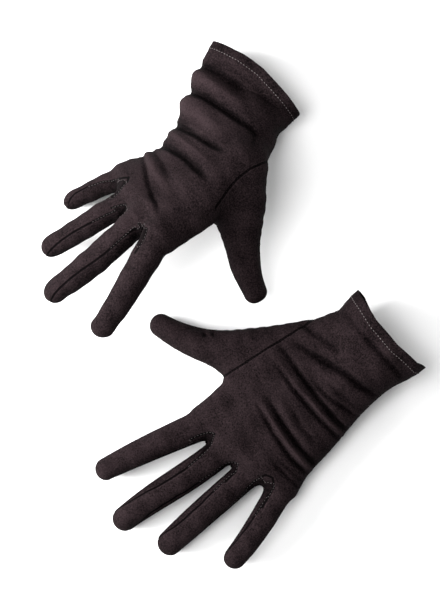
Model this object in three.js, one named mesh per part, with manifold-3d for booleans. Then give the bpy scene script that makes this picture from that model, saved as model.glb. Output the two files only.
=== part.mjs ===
// A pair of short, wrist-length stretch-knit dress gloves, laid out as they are worn: fingers towards +Y,
// backs of the hands up, the left glove at -X and the right glove at +X. Millimetres, +Z up.
// The left glove lies flat. The right glove is rolled so that its thumb side is raised.
import * as THREE from 'three';
import Module from 'manifold-3d';

const wasm = await Module();
wasm.setup();

// ---- Cloth and sewing -----------------------------------------------------------------------------------
const CLOTH = 0.9; // thickness of the knit
const GAP = 0.3; // clearance left along every seam, so each cut piece stays a body of its own
const HEM_DEPTH = 7.5; // width of the ply turned up inside the cuff
const HEM_START = 0.4; // how far inside the cuff edge the turned-up ply begins
const STITCH_INSET = 0.9; // distance of the topstitch row from the upper edge of that ply
const THREAD = 0.5; // sewing thread
const SEAM_THREAD_WIDTH = 0.7; // width of the thread band along the thumb seam

// ---- Hand, from the cuff edge up to the knuckles ----------------------------------------------------------
// Each row is one stretch of the hand: its length, and the girth of the glove at its upper end.
const CUFF_GIRTH = 178;
const HAND = {
  cuff: { length: 18, girth: 165 },
  wrist: { length: 17, girth: 167 },
  heel: { length: 17, girth: 172 },
  thumbBase: { length: 17, girth: 182 },
  palm: { length: 19, girth: 190 },
  upperPalm: { length: 17, girth: 192 },
  knuckles: { length: 16, girth: 192 },
};
const CROWN = 9; // how far the hand bulges past the knuckle line, between the finger roots

// ---- Digits -----------------------------------------------------------------------------------------------
// length: cut length from root to tip. widths: breadths at equal steps from root to tip. flatness: depth as
// a share of breadth. web: cloth between this finger and the next one towards the little finger.
// ahead: how far the root lies past the knuckle line.
const DIGITS = {
  index: { length: 75, widths: [19.6, 17.4, 14.4], flatness: 1, web: 2, ahead: 7.5 },
  middle: { length: 85, widths: [19.4, 19, 16], flatness: 0.88, web: 3.6, ahead: 12 },
  ring: { length: 78.5, widths: [18.6, 18.2, 16.4], flatness: 0.82, web: 4.4, ahead: 9.5 },
  little: { length: 62, widths: [17.6, 16.5, 14.2], flatness: 0.78, web: 0, ahead: 4.5 },
};
const THUMB = { length: 100, widths: [50, 38, 25, 18.5, 14.4], depths: [30, 29, 22.5, 18.5, 15] };
const THUMB_FROM = 60; // distance of the thumb's base from the cuff edge
const THUMB_INSET = 17.5; // how far the thumb's base lies beside the middle of the palm
const ROOT_INSET = 10; // how far behind the knuckle line the finger roots begin, inside the palm
const ROOT_TAPER = 0.85; // their size there, as a share of the finger's own
const ROOT_REACH = 20; // length past the knuckle line that still belongs to the hand panels
const SEAM_ANGLE = 47; // half angle, seen from the side, that a fourchette covers at the finger root
const SEAM_ANGLE_TIP = 22; // the same near the fingertip
const FOURCHETTE_END = 5; // the fourchettes stop this far before the fingertip
const THUMB_SEAM_PAST = 11; // how far the thumb seam reaches past the end of the palm stretch
const FLEX = [15, 30, 50, 70]; // degrees of bend for which the palm leaves room at each finger root
const FLEX_LENGTH = 14; // length of finger that needs that room

// ---- How each glove lies ------------------------------------------------------------------------------------
// sign: 1 where the thumb is on the +X side. start: centre of the cuff edge. Each hand row gives, for the
// same stretches as HAND, the aim (degrees from +Y towards the thumb), the lift (degrees above level), and at
// the stretch's upper end the breadth and the roll (degrees by which the thumb side is raised).
// Each digit gives aims and lifts from root to tip, its roll, takeUp, the length lost in crumples, and slip,
// how far the glove's digit root has slipped along the hand.
const LEFT = {
  name: 'left',
  sign: 1,
  start: [-91.5, -61.5, 24.9],
  breadth: 66,
  roll: 0,
  hand: [
    { aim: 6, lift: -11.5, breadth: 60, roll: 0 },
    { aim: 15, lift: -8, breadth: 65, roll: 0 },
    { aim: 8, lift: -7, breadth: 70, roll: 0 },
    { aim: 5, lift: -5.7, breadth: 76, roll: 0 },
    { aim: 2, lift: -1.8, breadth: 80, roll: 0 },
    { aim: 1, lift: -1.4, breadth: 81, roll: 0 },
    { aim: -4, lift: 0, breadth: 81, roll: 0 },
  ],
  index: { aims: [22, 20, 16], lifts: [4, -4, -18], roll: 0, takeUp: 0, slip: 0 },
  middle: { aims: [8, 12, 5], lifts: [5, -6, -17], roll: 0, takeUp: 0, slip: 0 },
  ring: { aims: [4, 3, 0], lifts: [4, -6, -16], roll: 0, takeUp: 0, slip: 0 },
  little: { aims: [-15, -12, -5], lifts: [6, -5, -16], roll: 0, takeUp: 0, slip: 0 },
  thumb: { aims: [57, 57, 80], lifts: [5, -5, -18], roll: 0, takeUp: 0, slip: 0 },
  thumbSeam: { foot: 35.5, top: 44.5 },
};
const RIGHT = {
  name: 'right',
  sign: -1,
  start: [84.5, -120.5, 16.6],
  breadth: 74.6,
  roll: 2,
  hand: [
    { aim: 7, lift: -13.5, breadth: 69, roll: 3 },
    { aim: 19, lift: 19, breadth: 65, roll: 13 },
    { aim: 22, lift: 20, breadth: 68, roll: 27 },
    { aim: 14, lift: 21, breadth: 71, roll: 40 },
    { aim: 2, lift: 17, breadth: 76, roll: 46 },
    { aim: -10, lift: 15, breadth: 80, roll: 46 },
    { aim: -20, lift: 12, breadth: 81, roll: 45 },
  ],
  index: { aims: [15, 13, 7], lifts: [-8, -17, -24], roll: 34, takeUp: 1, slip: 0 },
  middle: { aims: [-3, -6, -14], lifts: [-12, -21, -26], roll: 42, takeUp: 5, slip: 0 },
  ring: { aims: [-17, -15, -17], lifts: [-16, -22, -22], roll: 52, takeUp: 9, slip: -2 },
  little: { aims: [-26, -22, -16], lifts: [-14, -18, -18], roll: 62, takeUp: 13, slip: -7 },
  thumb: { aims: [66, 50, 74], lifts: [4, -14, -18], roll: 24, takeUp: 11, slip: 11 },
  thumbSeam: { foot: 34, top: 40 },
};

// ---- Facets -------------------------------------------------------------------------------------------------
const HAND_SIDES = 20;
const DIGIT_SIDES = 12;
const DOME_RINGS = 2;
const CROWN_OPEN = 0.4; // share of a ring's step by which the crown stops short of its pole
const TIP_OPEN = 0.25; // the same at a fingertip
const HAND_STEP = 12;
const DIGIT_STEP = 20;
const FAR = 400; // past the whole glove
const THUMB_FAR = 160; // past the thumb, as far as a cut along its seam has to reach
const HEM_FAR = 100; // past the cuff
const SEAM_HIGH = 60; // past the back of the hand

const BLACK_KNIT = { color: 0x2b2426, roughness: 0.9, metalness: 0 };
const INNER_KNIT = { color: 0x1f1b20, roughness: 0.9, metalness: 0 };
const GREY_THREAD = { color: 0x8b8488, roughness: 0.7, metalness: 0 };

const UP = new THREE.Vector3(0, 0, 1);
const radians = THREE.MathUtils.degToRad;

// Direction for an aim (from +Y towards the thumb side) and a lift above level.
function heading(sign, aim, lift) {
  const level = Math.cos(radians(lift));
  return new THREE.Vector3(
    sign * Math.sin(radians(aim)) * level,
    Math.cos(radians(aim)) * level,
    Math.sin(radians(lift)),
  );
}

// Smooth value at share u of a short list that is spread evenly from 0 to 1.
function along(list, u) {
  const curve = new THREE.SplineCurve(list.map((value, i) => new THREE.Vector2(i, value)));
  return curve.getPoint(u).y;
}

// One cross-section: its centre, its tangent, and the directions to the thumb side and to the back.
function frameAt(sign, centre, tangent, roll, halfWidth, halfDepth) {
  const level = new THREE.Vector3().crossVectors(tangent, UP).normalize().multiplyScalar(sign);
  const back = new THREE.Vector3().crossVectors(level, tangent).multiplyScalar(sign);
  const turn = radians(roll);
  const thumbwards = level.clone().multiplyScalar(Math.cos(turn)).addScaledVector(back, Math.sin(turn));
  const backwards = back.clone().multiplyScalar(Math.cos(turn)).addScaledVector(level, -Math.sin(turn));
  return { centre, tangent, thumbwards, backwards, halfWidth, halfDepth };
}

// Half depth of an elliptical sleeve from its girth and its half width.
function depthFromGirth(girth, halfWidth) {
  const meanSquare = (girth / (2 * Math.PI)) ** 2;
  return Math.sqrt(2 * meanSquare - halfWidth ** 2);
}

// The hand as a smooth run of cross-sections, found by distance from the cuff edge.
function handPath(glove) {
  const stretches = Object.values(HAND);
  const centres = [new THREE.Vector3(...glove.start)];
  const distances = [0];
  glove.hand.forEach(({ aim, lift }, i) => {
    const step = heading(glove.sign, aim, lift).multiplyScalar(stretches[i].length);
    centres.push(centres[i].clone().add(step));
    distances.push(distances[i] + stretches[i].length);
  });
  const curve = new THREE.CatmullRomCurve3(centres, false, 'centripetal');
  const breadths = [glove.breadth, ...glove.hand.map((row) => row.breadth)];
  const rolls = [glove.roll, ...glove.hand.map((row) => row.roll)];
  const girths = [CUFF_GIRTH, ...stretches.map((row) => row.girth)];
  const total = distances[distances.length - 1];

  function at(distance) {
    const inside = THREE.MathUtils.clamp(distance, 0, total);
    let i = 0;
    while (i < stretches.length - 1 && distances[i + 1] < inside) i += 1;
    const u = (i + (inside - distances[i]) / (distances[i + 1] - distances[i])) / stretches.length;
    const halfWidth = along(breadths, u) / 2;
    const halfDepth = depthFromGirth(along(girths, u), halfWidth);
    const tangent = curve.getTangent(u);
    const centre = curve.getPoint(u).addScaledVector(tangent, distance - inside);
    return frameAt(glove.sign, centre, tangent, along(rolls, u), halfWidth, halfDepth);
  }
  return { at, total, distances };
}

// A digit as a run of cross-sections, found by distance from its root. Behind the root it runs straight.
function digitPath(glove, root, pose, size) {
  const total = size.length - pose.takeUp;
  const steps = 12;
  const centres = [root.clone()];
  for (let i = 0; i < steps; i += 1) {
    const u = (i + 0.5) / steps;
    const step = heading(glove.sign, along(pose.aims, u), along(pose.lifts, u));
    centres.push(centres[i].clone().addScaledVector(step, total / steps));
  }
  const curve = new THREE.CatmullRomCurve3(centres, false, 'centripetal');

  function at(distance) {
    const inside = THREE.MathUtils.clamp(distance, 0, total);
    const u = inside / total;
    const tangent = heading(glove.sign, along(pose.aims, u), along(pose.lifts, u));
    const centre = curve.getPoint(u).addScaledVector(tangent, distance - inside);
    const halfWidth = along(size.widths, u) / 2;
    const halfDepth = size.depths ? along(size.depths, u) / 2 : halfWidth * size.flatness;
    return frameAt(glove.sign, centre, tangent, pose.roll, halfWidth, halfDepth);
  }
  return { at, total };
}

// Point at an angle round a cross-section, measured from the thumb side towards the back.
function rim(section, angle, width, depth) {
  return section.centre.clone()
    .addScaledVector(section.thumbwards, Math.cos(angle) * width)
    .addScaledVector(section.backwards, Math.sin(angle) * depth);
}

function ellipseRing(section, sides, grow, scale = 1) {
  const width = Math.max((section.halfWidth + grow) * scale, 0.05);
  const depth = Math.max((section.halfDepth + grow) * scale, 0.05);
  return Array.from({ length: sides }, (_, i) => rim(section, (2 * Math.PI * i) / sides, width, depth));
}

// Closed solid from equal rings of points, closed by a fan at each end. The quads of one side can be
// divided along their other diagonal, so that two lofts which share a twisted face stay parallel there.
function loft(rings, turnedSide = -1) {
  const sides = rings[0].length;
  const points = rings.flat();
  const triangles = [];
  for (let r = 0; r + 1 < rings.length; r += 1) {
    for (let i = 0; i < sides; i += 1) {
      const next = (i + 1) % sides;
      const a = r * sides + i;
      const b = r * sides + next;
      triangles.push(...(i === turnedSide
        ? [a, b, a + sides, b, b + sides, a + sides]
        : [a, b, b + sides, a, b + sides, a + sides]));
    }
  }
  [0, rings.length - 1].forEach((r) => {
    const hub = points.length;
    const centre = new THREE.Vector3();
    rings[r].forEach((point) => centre.addScaledVector(point, 1 / sides));
    points.push(centre);
    for (let i = 0; i < sides; i += 1) {
      const a = r * sides + i;
      const b = r * sides + ((i + 1) % sides);
      triangles.push(...(r === 0 ? [hub, b, a] : [hub, a, b]));
    }
  });
  return solid(points, triangles);
}

// Manifold solid from points and triangles, turned inside out first if it encloses a negative volume.
function solid(points, triangles) {
  let volume = 0;
  for (let i = 0; i < triangles.length; i += 3) {
    const [a, b, c] = [points[triangles[i]], points[triangles[i + 1]], points[triangles[i + 2]]];
    volume += a.dot(new THREE.Vector3().crossVectors(b, c));
  }
  if (volume < 0) triangles.reverse();
  return new wasm.Manifold(new wasm.Mesh({
    numProp: 3,
    vertProperties: new Float32Array(points.flatMap((point) => point.toArray())),
    triVerts: new Uint32Array(triangles),
  }));
}

// Distances from start to end, in steps of about the given length.
function stations(start, end, step) {
  const count = Math.max(1, Math.round((end - start) / step));
  return Array.from({ length: count + 1 }, (_, i) => start + ((end - start) * i) / count);
}

// Sleeve between two distances along the hand; a positive crown rounds its upper end off.
function handSolid(path, start, end, grow, crown = 0) {
  const distances = [start, ...stations(0, end, HAND_STEP).slice(1)];
  const rings = distances.map((d) => ellipseRing(path.at(d), HAND_SIDES, grow));
  if (crown > 0) {
    for (let i = 1; i <= DOME_RINGS; i += 1) {
      const turn = (Math.PI / 2) * (i / (DOME_RINGS + CROWN_OPEN));
      const section = path.at(end + (crown + grow) * Math.sin(turn));
      rings.push(ellipseRing(section, HAND_SIDES, grow, Math.cos(turn)));
    }
  }
  return loft(rings);
}

// Digit tube from a start distance to its rounded tip.
function digitSolid(path, start, grow) {
  const tip = path.at(path.total);
  const round = Math.max(tip.halfWidth, tip.halfDepth);
  const shoulder = path.total - round;
  const rings = stations(start, shoulder, DIGIT_STEP).map((d) => ellipseRing(path.at(d), DIGIT_SIDES, grow));
  for (let i = 1; i <= DOME_RINGS; i += 1) {
    const turn = (Math.PI / 2) * (i / (DOME_RINGS + TIP_OPEN));
    const section = path.at(shoulder + (round + grow) * Math.sin(turn));
    rings.push(ellipseRing(section, DIGIT_SIDES, grow, Math.cos(turn)));
  }
  return loft(rings);
}

// Stub of a finger tube, from a section inside the palm up to its root.
function rootSolid(path, end, grow) {
  const sections = [path.rear, path.at(0), path.at(end)];
  return loft(sections.map((section) => ellipseRing(section, DIGIT_SIDES, grow)));
}

// Cutter that follows a path and covers the angles from low to high (degrees, given by distance), kept back
// from both of its edges by half the seam clearance.
function wedge(path, distances, low, high) {
  const reach = 1.2;
  const rings = distances.map((distance) => {
    const section = path.at(distance);
    const from = radians(low(distance));
    const to = radians(high(distance));
    const width = section.halfWidth;
    const depth = section.halfDepth;
    const edges = [from, to]
      .map((angle) => new THREE.Vector2(Math.cos(angle) * width, Math.sin(angle) * depth));
    const inwards = [
      new THREE.Vector2(-edges[0].y, edges[0].x).normalize(),
      new THREE.Vector2(edges[1].y, -edges[1].x).normalize(),
    ];
    const middle = inwards[0].clone().add(inwards[1]);
    const apex = middle.lengthSq() < 1e-6
      ? inwards[0].clone().multiplyScalar(GAP / 2)
      : middle.clone().multiplyScalar(GAP / middle.lengthSq());
    const outline = [apex];
    for (let i = 0; i <= 4; i += 1) {
      const angle = from + ((to - from) * i) / 4;
      const spoke = new THREE.Vector2(Math.cos(angle), Math.sin(angle));
      spoke.multiplyScalar(reach / Math.max(Math.abs(spoke.x), Math.abs(spoke.y)));
      outline.push(new THREE.Vector2(spoke.x * width, spoke.y * depth));
    }
    outline[1].addScaledVector(inwards[0], GAP / 2);
    outline[5].addScaledVector(inwards[1], GAP / 2);
    return outline.map((point) => section.centre.clone()
      .addScaledVector(section.thumbwards, point.x)
      .addScaledVector(section.backwards, point.y));
  });
  return loft(rings, rings[0].length - 1);
}

// Box-shaped cutter: starts on a plane through a point, reaches outwards along its normal.
function block(point, normal, lengthwise, reach, thickness) {
  const across = new THREE.Vector3().crossVectors(normal, lengthwise).normalize();
  const corner = (side, end) => point.clone()
    .addScaledVector(across, side * reach)
    .addScaledVector(lengthwise, end * reach);
  const base = [corner(-1, -1), corner(1, -1), corner(1, 1), corner(-1, 1)];
  return loft([base, base.map((p) => p.clone().addScaledVector(normal, thickness))]);
}

// Largest connected body of a cut, so that a sliver at a seam isn't kept.
function largest(shape) {
  return shape.decompose().reduce((best, part) => (part.volume() > best.volume() ? part : best));
}

function addPiece(group, name, shape, finish) {
  const mesh = largest(shape).getMesh();
  const geometry = new THREE.BufferGeometry();
  geometry.setAttribute('position', new THREE.BufferAttribute(new Float32Array(mesh.vertProperties), 3));
  geometry.setIndex(new THREE.BufferAttribute(new Uint32Array(mesh.triVerts), 1));
  geometry.computeVertexNormals();
  const piece = new THREE.Mesh(geometry, new THREE.MeshStandardMaterial(finish));
  piece.name = name;
  group.add(piece);
}

// The four fingers, spread across the knuckle line by their widths and the webs between them. Each carries
// a rear section as well, inside the palm, from which its root grows.
function fingerPaths(glove, path) {
  const knuckles = path.at(path.total);
  const inside = path.at(path.total - ROOT_INSET);
  const names = Object.keys(DIGITS);
  const offsets = [0];
  names.slice(1).forEach((name, i) => {
    const before = DIGITS[names[i]];
    offsets.push(offsets[i] - (before.widths[0] + DIGITS[name].widths[0]) / 2 - before.web);
  });
  const middle = offsets[offsets.length - 1] / 2;
  return Object.fromEntries(names.map((name, i) => {
    const size = DIGITS[name];
    const across = offsets[i] - middle;
    const root = knuckles.centre.clone()
      .addScaledVector(knuckles.thumbwards, across)
      .addScaledVector(knuckles.tangent, size.ahead + glove[name].slip);
    const finger = digitPath(glove, root, glove[name], size);
    const halfWidth = (size.widths[0] / 2) * ROOT_TAPER;
    const centre = inside.centre.clone().addScaledVector(inside.thumbwards, across * ROOT_TAPER);
    finger.rear = { ...inside, centre, halfWidth, halfDepth: halfWidth * size.flatness };
    return [name, finger];
  }));
}

// Panels round one finger, as angles from the thumb side: the back and palm strips, and a fourchette on each
// side that faces another finger.
function fingerPanels(name) {
  const thumbSide = name !== 'index';
  const littleSide = name !== 'little';
  const panels = {
    back: [(seam) => (thumbSide ? seam : 0), (seam) => 180 - (littleSide ? seam : 0)],
    palm: [(seam) => 180 + (littleSide ? seam : 0), (seam) => 360 - (thumbSide ? seam : 0)],
  };
  const both = thumbSide && littleSide;
  if (thumbSide) panels[both ? 'fourchette_thumb_side' : 'fourchette'] = [(seam) => -seam, (seam) => seam];
  if (littleSide) {
    panels[both ? 'fourchette_little_side' : 'fourchette'] = [(seam) => 180 - seam, (seam) => 180 + seam];
  }
  return panels;
}

function addFinger(group, glove, name, path) {
  const shell = digitSolid(path, GAP / 2, 0).subtract(digitSolid(path, -1, -CLOTH));
  const pastTip = path.total + 2;
  const fourchetteEnd = path.total - FOURCHETTE_END;
  const seamAt = (distance) => {
    const share = THREE.MathUtils.clamp(distance / fourchetteEnd, 0, 1);
    return distance < pastTip ? SEAM_ANGLE + (SEAM_ANGLE_TIP - SEAM_ANGLE) * share ** 2 : 0;
  };
  const upToEnd = stations(-1, fourchetteEnd, DIGIT_STEP);
  Object.entries(fingerPanels(name)).forEach(([panel, [low, high]]) => {
    const distances = panel.startsWith('fourchette') ? upToEnd : [...upToEnd, pastTip];
    const cutter = wedge(path, distances, (d) => low(seamAt(d)), (d) => high(seamAt(d)));
    addPiece(group, `${glove.name}_${name}_${panel}`, shell.intersect(cutter), BLACK_KNIT);
  });
}

// Plane of the seam that sets the thumb into the hand: through its foot and its top, square to the back.
function thumbSeamPlane(glove, path) {
  const foot = path.at(path.distances[2]);
  const top = path.at(path.distances[5] + THUMB_SEAM_PAST);
  const start = foot.centre.clone().addScaledVector(foot.thumbwards, glove.thumbSeam.foot);
  const end = top.centre.clone().addScaledVector(top.thumbwards, glove.thumbSeam.top);
  const lengthwise = end.clone().sub(start).normalize();
  const back = foot.backwards.clone().add(top.backwards).normalize();
  const outwards = new THREE.Vector3().crossVectors(lengthwise, back).multiplyScalar(glove.sign).normalize();
  return { start, end, lengthwise, outwards, back: new THREE.Vector3().crossVectors(outwards, lengthwise) };
}

// Everything above a height over the table.
function above(glove, height) {
  return block(new THREE.Vector3(...glove.start).setZ(height), UP, new THREE.Vector3(0, 1, 0), FAR, FAR);
}

// The first stretch of a finger, turned towards the palm about the palm side of its root.
function bentRoot(glove, finger, angle) {
  const root = finger.at(0);
  const hinge = root.centre.clone().addScaledVector(root.backwards, -root.halfDepth);
  const sections = [-GAP / 2, FLEX_LENGTH / 2, FLEX_LENGTH].map((distance) => finger.at(distance));
  const rings = sections.map((section) => ellipseRing(section, DIGIT_SIDES, GAP));
  rings.flat().forEach((point) => {
    point.sub(hinge).applyAxisAngle(root.thumbwards, -glove.sign * radians(angle)).add(hinge);
  });
  return loft(rings);
}

function addHand(group, glove, path, fingers, thumb) {
  const seam = thumbSeamPlane(glove, path);
  const floor = above(glove, 0);
  const lining = above(glove, CLOTH);
  const tubes = Object.values(fingers);
  const roots = (grow, end) => tubes.map((finger) => rootSolid(finger, end, grow));

  const sleeve = handSolid(path, 0, path.total, 0, CROWN).add(digitSolid(thumb, 0, 0)).intersect(floor);
  const hollow = handSolid(path, -2, path.total, -CLOTH, CROWN)
    .add(digitSolid(thumb, CLOTH, -CLOTH)).intersect(lining);
  const outer = roots(0, -GAP / 2).reduce((shape, root) => shape.add(root), sleeve);
  const inner = roots(-CLOTH, 2).reduce((shape, root) => shape.add(root), hollow);
  const shell = outer.subtract(inner);

  const thumbSide = block(seam.start.clone().addScaledVector(seam.outwards, GAP / 2), seam.outwards,
    seam.lengthwise, THUMB_FAR, THUMB_FAR);
  const handSide = block(seam.start.clone().addScaledVector(seam.outwards, -GAP / 2),
    seam.outwards.clone().negate(), seam.lengthwise, 2 * THUMB_FAR, THUMB_FAR);
  const thumbPanel = sleeve.subtract(hollow).intersect(thumbSide);
  addPiece(group, `${glove.name}_thumb_panel`, thumbPanel, BLACK_KNIT);

  const clear = tubes.flatMap((finger) => [
    digitSolid(finger, -GAP / 2, GAP),
    ...FLEX.map((angle) => bentRoot(glove, finger, angle)),
  ]);
  const handShell = clear.reduce((shape, finger) => shape.subtract(finger), shell.intersect(handSide));
  const length = stations(-3, path.total + ROOT_REACH, HAND_STEP / 2);
  const backCut = wedge(path, length, () => 0, () => 180);
  const palmCut = wedge(path, length, () => 180, () => 360);
  addPiece(group, `${glove.name}_back_panel`, handShell.intersect(backCut), BLACK_KNIT);
  addPiece(group, `${glove.name}_palm_panel`, handShell.intersect(palmCut), BLACK_KNIT);
  addSeamThread(group, glove, path, thumb, seam);
}

// Sewing thread lying along the thumb seam, on the back of the hand.
function addSeamThread(group, glove, path, thumb, seam) {
  const cover = (grow) => handSolid(path, 0, path.total, grow, CROWN).add(digitSolid(thumb, 0, grow));
  const skin = cover(GAP + THREAD).subtract(cover(GAP));
  const middle = seam.start.clone().lerp(seam.end, 0.5);
  const from = middle.clone().addScaledVector(seam.outwards, -SEAM_THREAD_WIDTH / 2);
  const strip = block(from, seam.outwards, seam.lengthwise, seam.start.distanceTo(seam.end) / 2,
    SEAM_THREAD_WIDTH);
  const onBack = block(middle, seam.back, seam.lengthwise, seam.start.distanceTo(seam.end), SEAM_HIGH);
  addPiece(group, `${glove.name}_thumb_seam_thread`, skin.intersect(strip).intersect(onBack), GREY_THREAD);
}

// Ply turned up inside the cuff, and the row of stitches that holds it, seen on the outside.
function addHem(group, glove, path) {
  const edge = path.at(0);
  const band = (start, end) => block(edge.centre.clone().addScaledVector(edge.tangent, start), edge.tangent,
    edge.backwards, HEM_FAR, end - start);
  const inside = -CLOTH - GAP;
  const ply = handSolid(path, -2, path.total, inside)
    .subtract(handSolid(path, -3, path.total, inside - CLOTH))
    .intersect(above(glove, CLOTH + GAP));
  addPiece(group, `${glove.name}_cuff_hem`, ply.intersect(band(HEM_START, HEM_DEPTH)), INNER_KNIT);

  const row = HEM_DEPTH - STITCH_INSET;
  const cover = handSolid(path, 0, path.total, GAP + THREAD).subtract(handSolid(path, 0, path.total, GAP));
  addPiece(group, `${glove.name}_hem_topstitch`, cover.intersect(band(row, row + THREAD)), GREY_THREAD);
}

function addGlove(group, glove) {
  const path = handPath(glove);
  const fingers = fingerPaths(glove, path);
  const base = path.at(THUMB_FROM + glove.thumb.slip);
  const thumbRoot = base.centre.clone().addScaledVector(base.thumbwards, THUMB_INSET);
  const thumb = digitPath(glove, thumbRoot, glove.thumb, THUMB);
  addHand(group, glove, path, fingers, thumb);
  addHem(group, glove, path);
  Object.entries(fingers).forEach(([name, finger]) => addFinger(group, glove, name, finger));
}

const gloves = new THREE.Group();
addGlove(gloves, LEFT);
addGlove(gloves, RIGHT);

// Origin on the table, under the middle of the pair.
const box = new THREE.Box3().setFromObject(gloves);
const centre = box.getCenter(new THREE.Vector3());
gloves.position.set(-centre.x, -centre.y, -box.min.z);
gloves.updateMatrixWorld(true);

export default gloves;
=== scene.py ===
import bpy
import numpy as np
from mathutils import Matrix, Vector


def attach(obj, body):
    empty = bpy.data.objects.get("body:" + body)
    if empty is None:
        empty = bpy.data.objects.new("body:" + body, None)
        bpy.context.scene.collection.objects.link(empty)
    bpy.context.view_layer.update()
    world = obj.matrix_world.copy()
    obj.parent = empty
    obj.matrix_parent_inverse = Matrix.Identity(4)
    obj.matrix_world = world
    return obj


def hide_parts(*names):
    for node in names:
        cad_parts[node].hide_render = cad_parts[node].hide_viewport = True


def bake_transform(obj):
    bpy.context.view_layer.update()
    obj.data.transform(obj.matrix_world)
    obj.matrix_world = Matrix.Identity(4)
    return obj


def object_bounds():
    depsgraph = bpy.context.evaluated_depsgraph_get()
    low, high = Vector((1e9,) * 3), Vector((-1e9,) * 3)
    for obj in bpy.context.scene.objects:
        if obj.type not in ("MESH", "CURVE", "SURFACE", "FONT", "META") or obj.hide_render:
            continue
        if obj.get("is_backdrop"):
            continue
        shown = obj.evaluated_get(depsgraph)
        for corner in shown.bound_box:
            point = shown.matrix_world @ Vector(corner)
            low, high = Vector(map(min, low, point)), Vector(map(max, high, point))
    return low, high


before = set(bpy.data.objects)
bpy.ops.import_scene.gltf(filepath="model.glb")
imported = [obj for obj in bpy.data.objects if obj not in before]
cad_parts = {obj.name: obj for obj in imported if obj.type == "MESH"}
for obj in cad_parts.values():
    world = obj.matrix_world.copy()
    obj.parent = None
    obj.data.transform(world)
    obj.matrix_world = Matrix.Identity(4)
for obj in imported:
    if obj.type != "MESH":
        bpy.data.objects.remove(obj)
cad_low, cad_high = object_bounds()

# ---- Table, camera and lights ----------------------------------------------------------------------------
# The pair lies on a plain white table and is seen from straight above, turned an eighth past a quarter turn.
# One large soft light stands low on one side, a weak one on another, and a third hangs over the pair.
table_top = bpy.data.meshes.new("table_top")
table_top.from_pydata([(-3, -3, 0), (3, -3, 0), (3, 3, 0), (-3, 3, 0)], [], [(0, 1, 2, 3)])
table = bpy.data.objects.new("table_top", table_top)
table.location.z = cad_low.z - 0.0006
bpy.context.scene.collection.objects.link(table)
white = bpy.data.materials.new("white_table")
white.use_nodes = True
surface = white.node_tree.nodes["Principled BSDF"]
surface.inputs["Base Color"].default_value = (0.93, 0.93, 0.93, 1)
surface.inputs["Roughness"].default_value = 0.8
table_top.materials.append(white)
table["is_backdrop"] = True

view = bpy.data.cameras.new("camera")
view.lens = 103.6
camera = bpy.data.objects.new("camera", view)
camera.location = (0.00601, -0.01382, 1.13)
camera.rotation_euler = (0, 0, np.radians(-135))
bpy.context.scene.collection.objects.link(camera)
bpy.context.scene.camera = camera
bpy.context.scene.view_settings.view_transform = "Standard"


def light(name, place, size, watts):
    """A square soft light that faces the middle of the pair."""
    lamp = bpy.data.lights.new(name, "AREA")
    lamp.size = size
    lamp.energy = watts
    holder = bpy.data.objects.new(name, lamp)
    holder.location = place
    holder.rotation_euler = (-Vector(place)).to_track_quat("-Z", "Y").to_euler()
    bpy.context.scene.collection.objects.link(holder)


light("overhead", (0.35, 0.3, 1.35), 0.7, 15)
light("beside_little_fingers", (0.78, 0.68, 0.44), 0.6, 50)
light("beside_thumbs", (0.1, -0.9, 0.6), 0.4, 3)
world = bpy.data.worlds.new("studio")
world.use_nodes = True
world.node_tree.nodes["Background"].inputs["Color"].default_value = (1, 1, 1, 1)
world.node_tree.nodes["Background"].inputs["Strength"].default_value = 0.34
bpy.context.scene.world = world

# ---- How the hands fill the gloves -----------------------------------------------------------------------
# Each glove is a stretchy knitted tube that takes the shape of a hand: a flattened sleeve from cuff to
# knuckles, four finger tubes and a thumb tube. Lengths are millimetres, angles degrees. A hand row gives
# aim (from +Y to the thumb side), lift above level, breadth and roll (the thumb side raised) at its end.
SHIFT = np.array([6.0117, -13.8208, 0.0])
STRETCHES = [18, 17, 17, 17, 19, 17, 16]
GIRTHS = [178, 165, 167, 172, 182, 190, 192, 192]
FINGERS = ["index", "middle", "ring", "little"]
DIGIT_STEPS = 12
BEHIND_CUFF = 12
INSIDE_HAND = 10
THUMB_ROOT = (60, 17.5)  # along the sleeve and across it
SIZES = {
    "index": dict(length=75, widths=[19.6, 17.4, 14.4], flatness=1, web=2, ahead=7.5),
    "middle": dict(length=85, widths=[19.4, 19, 16], flatness=0.88, web=3.6, ahead=12),
    "ring": dict(length=78.5, widths=[18.6, 18.2, 16.4], flatness=0.82, web=4.4, ahead=9.5),
    "little": dict(length=62, widths=[17.6, 16.5, 14.2], flatness=0.78, web=0, ahead=4.5),
    "thumb": dict(length=100, widths=[50, 38, 25, 18.5, 14.4], depths=[30, 29, 22.5, 18.5, 15]),
}
LEFT = dict(
    name="left",
    sign=1,
    crease_reach=-0.15,
    start=(-91.5, -61.5, 24.9),
    rows=[(0, 0, 66, 0), (6, -11.5, 60, 0), (15, -8, 65, 0), (8, -7, 70, 0), (5, -5.7, 76, 0),
          (2, -1.8, 80, 0), (1, -1.4, 81, 0), (-4, 0, 81, 0)],
    index=dict(aims=[22, 20, 16], lifts=[4, -4, -18], roll=0, take_up=0, slip=0),
    middle=dict(aims=[8, 12, 5], lifts=[5, -6, -17], roll=0, take_up=0, slip=0),
    ring=dict(aims=[4, 3, 0], lifts=[4, -6, -16], roll=0, take_up=0, slip=0),
    little=dict(aims=[-15, -12, -5], lifts=[6, -5, -16], roll=0, take_up=0, slip=0),
    thumb=dict(aims=[57, 57, 80], lifts=[5, -5, -18], roll=0, take_up=0, slip=0),
)
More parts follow.
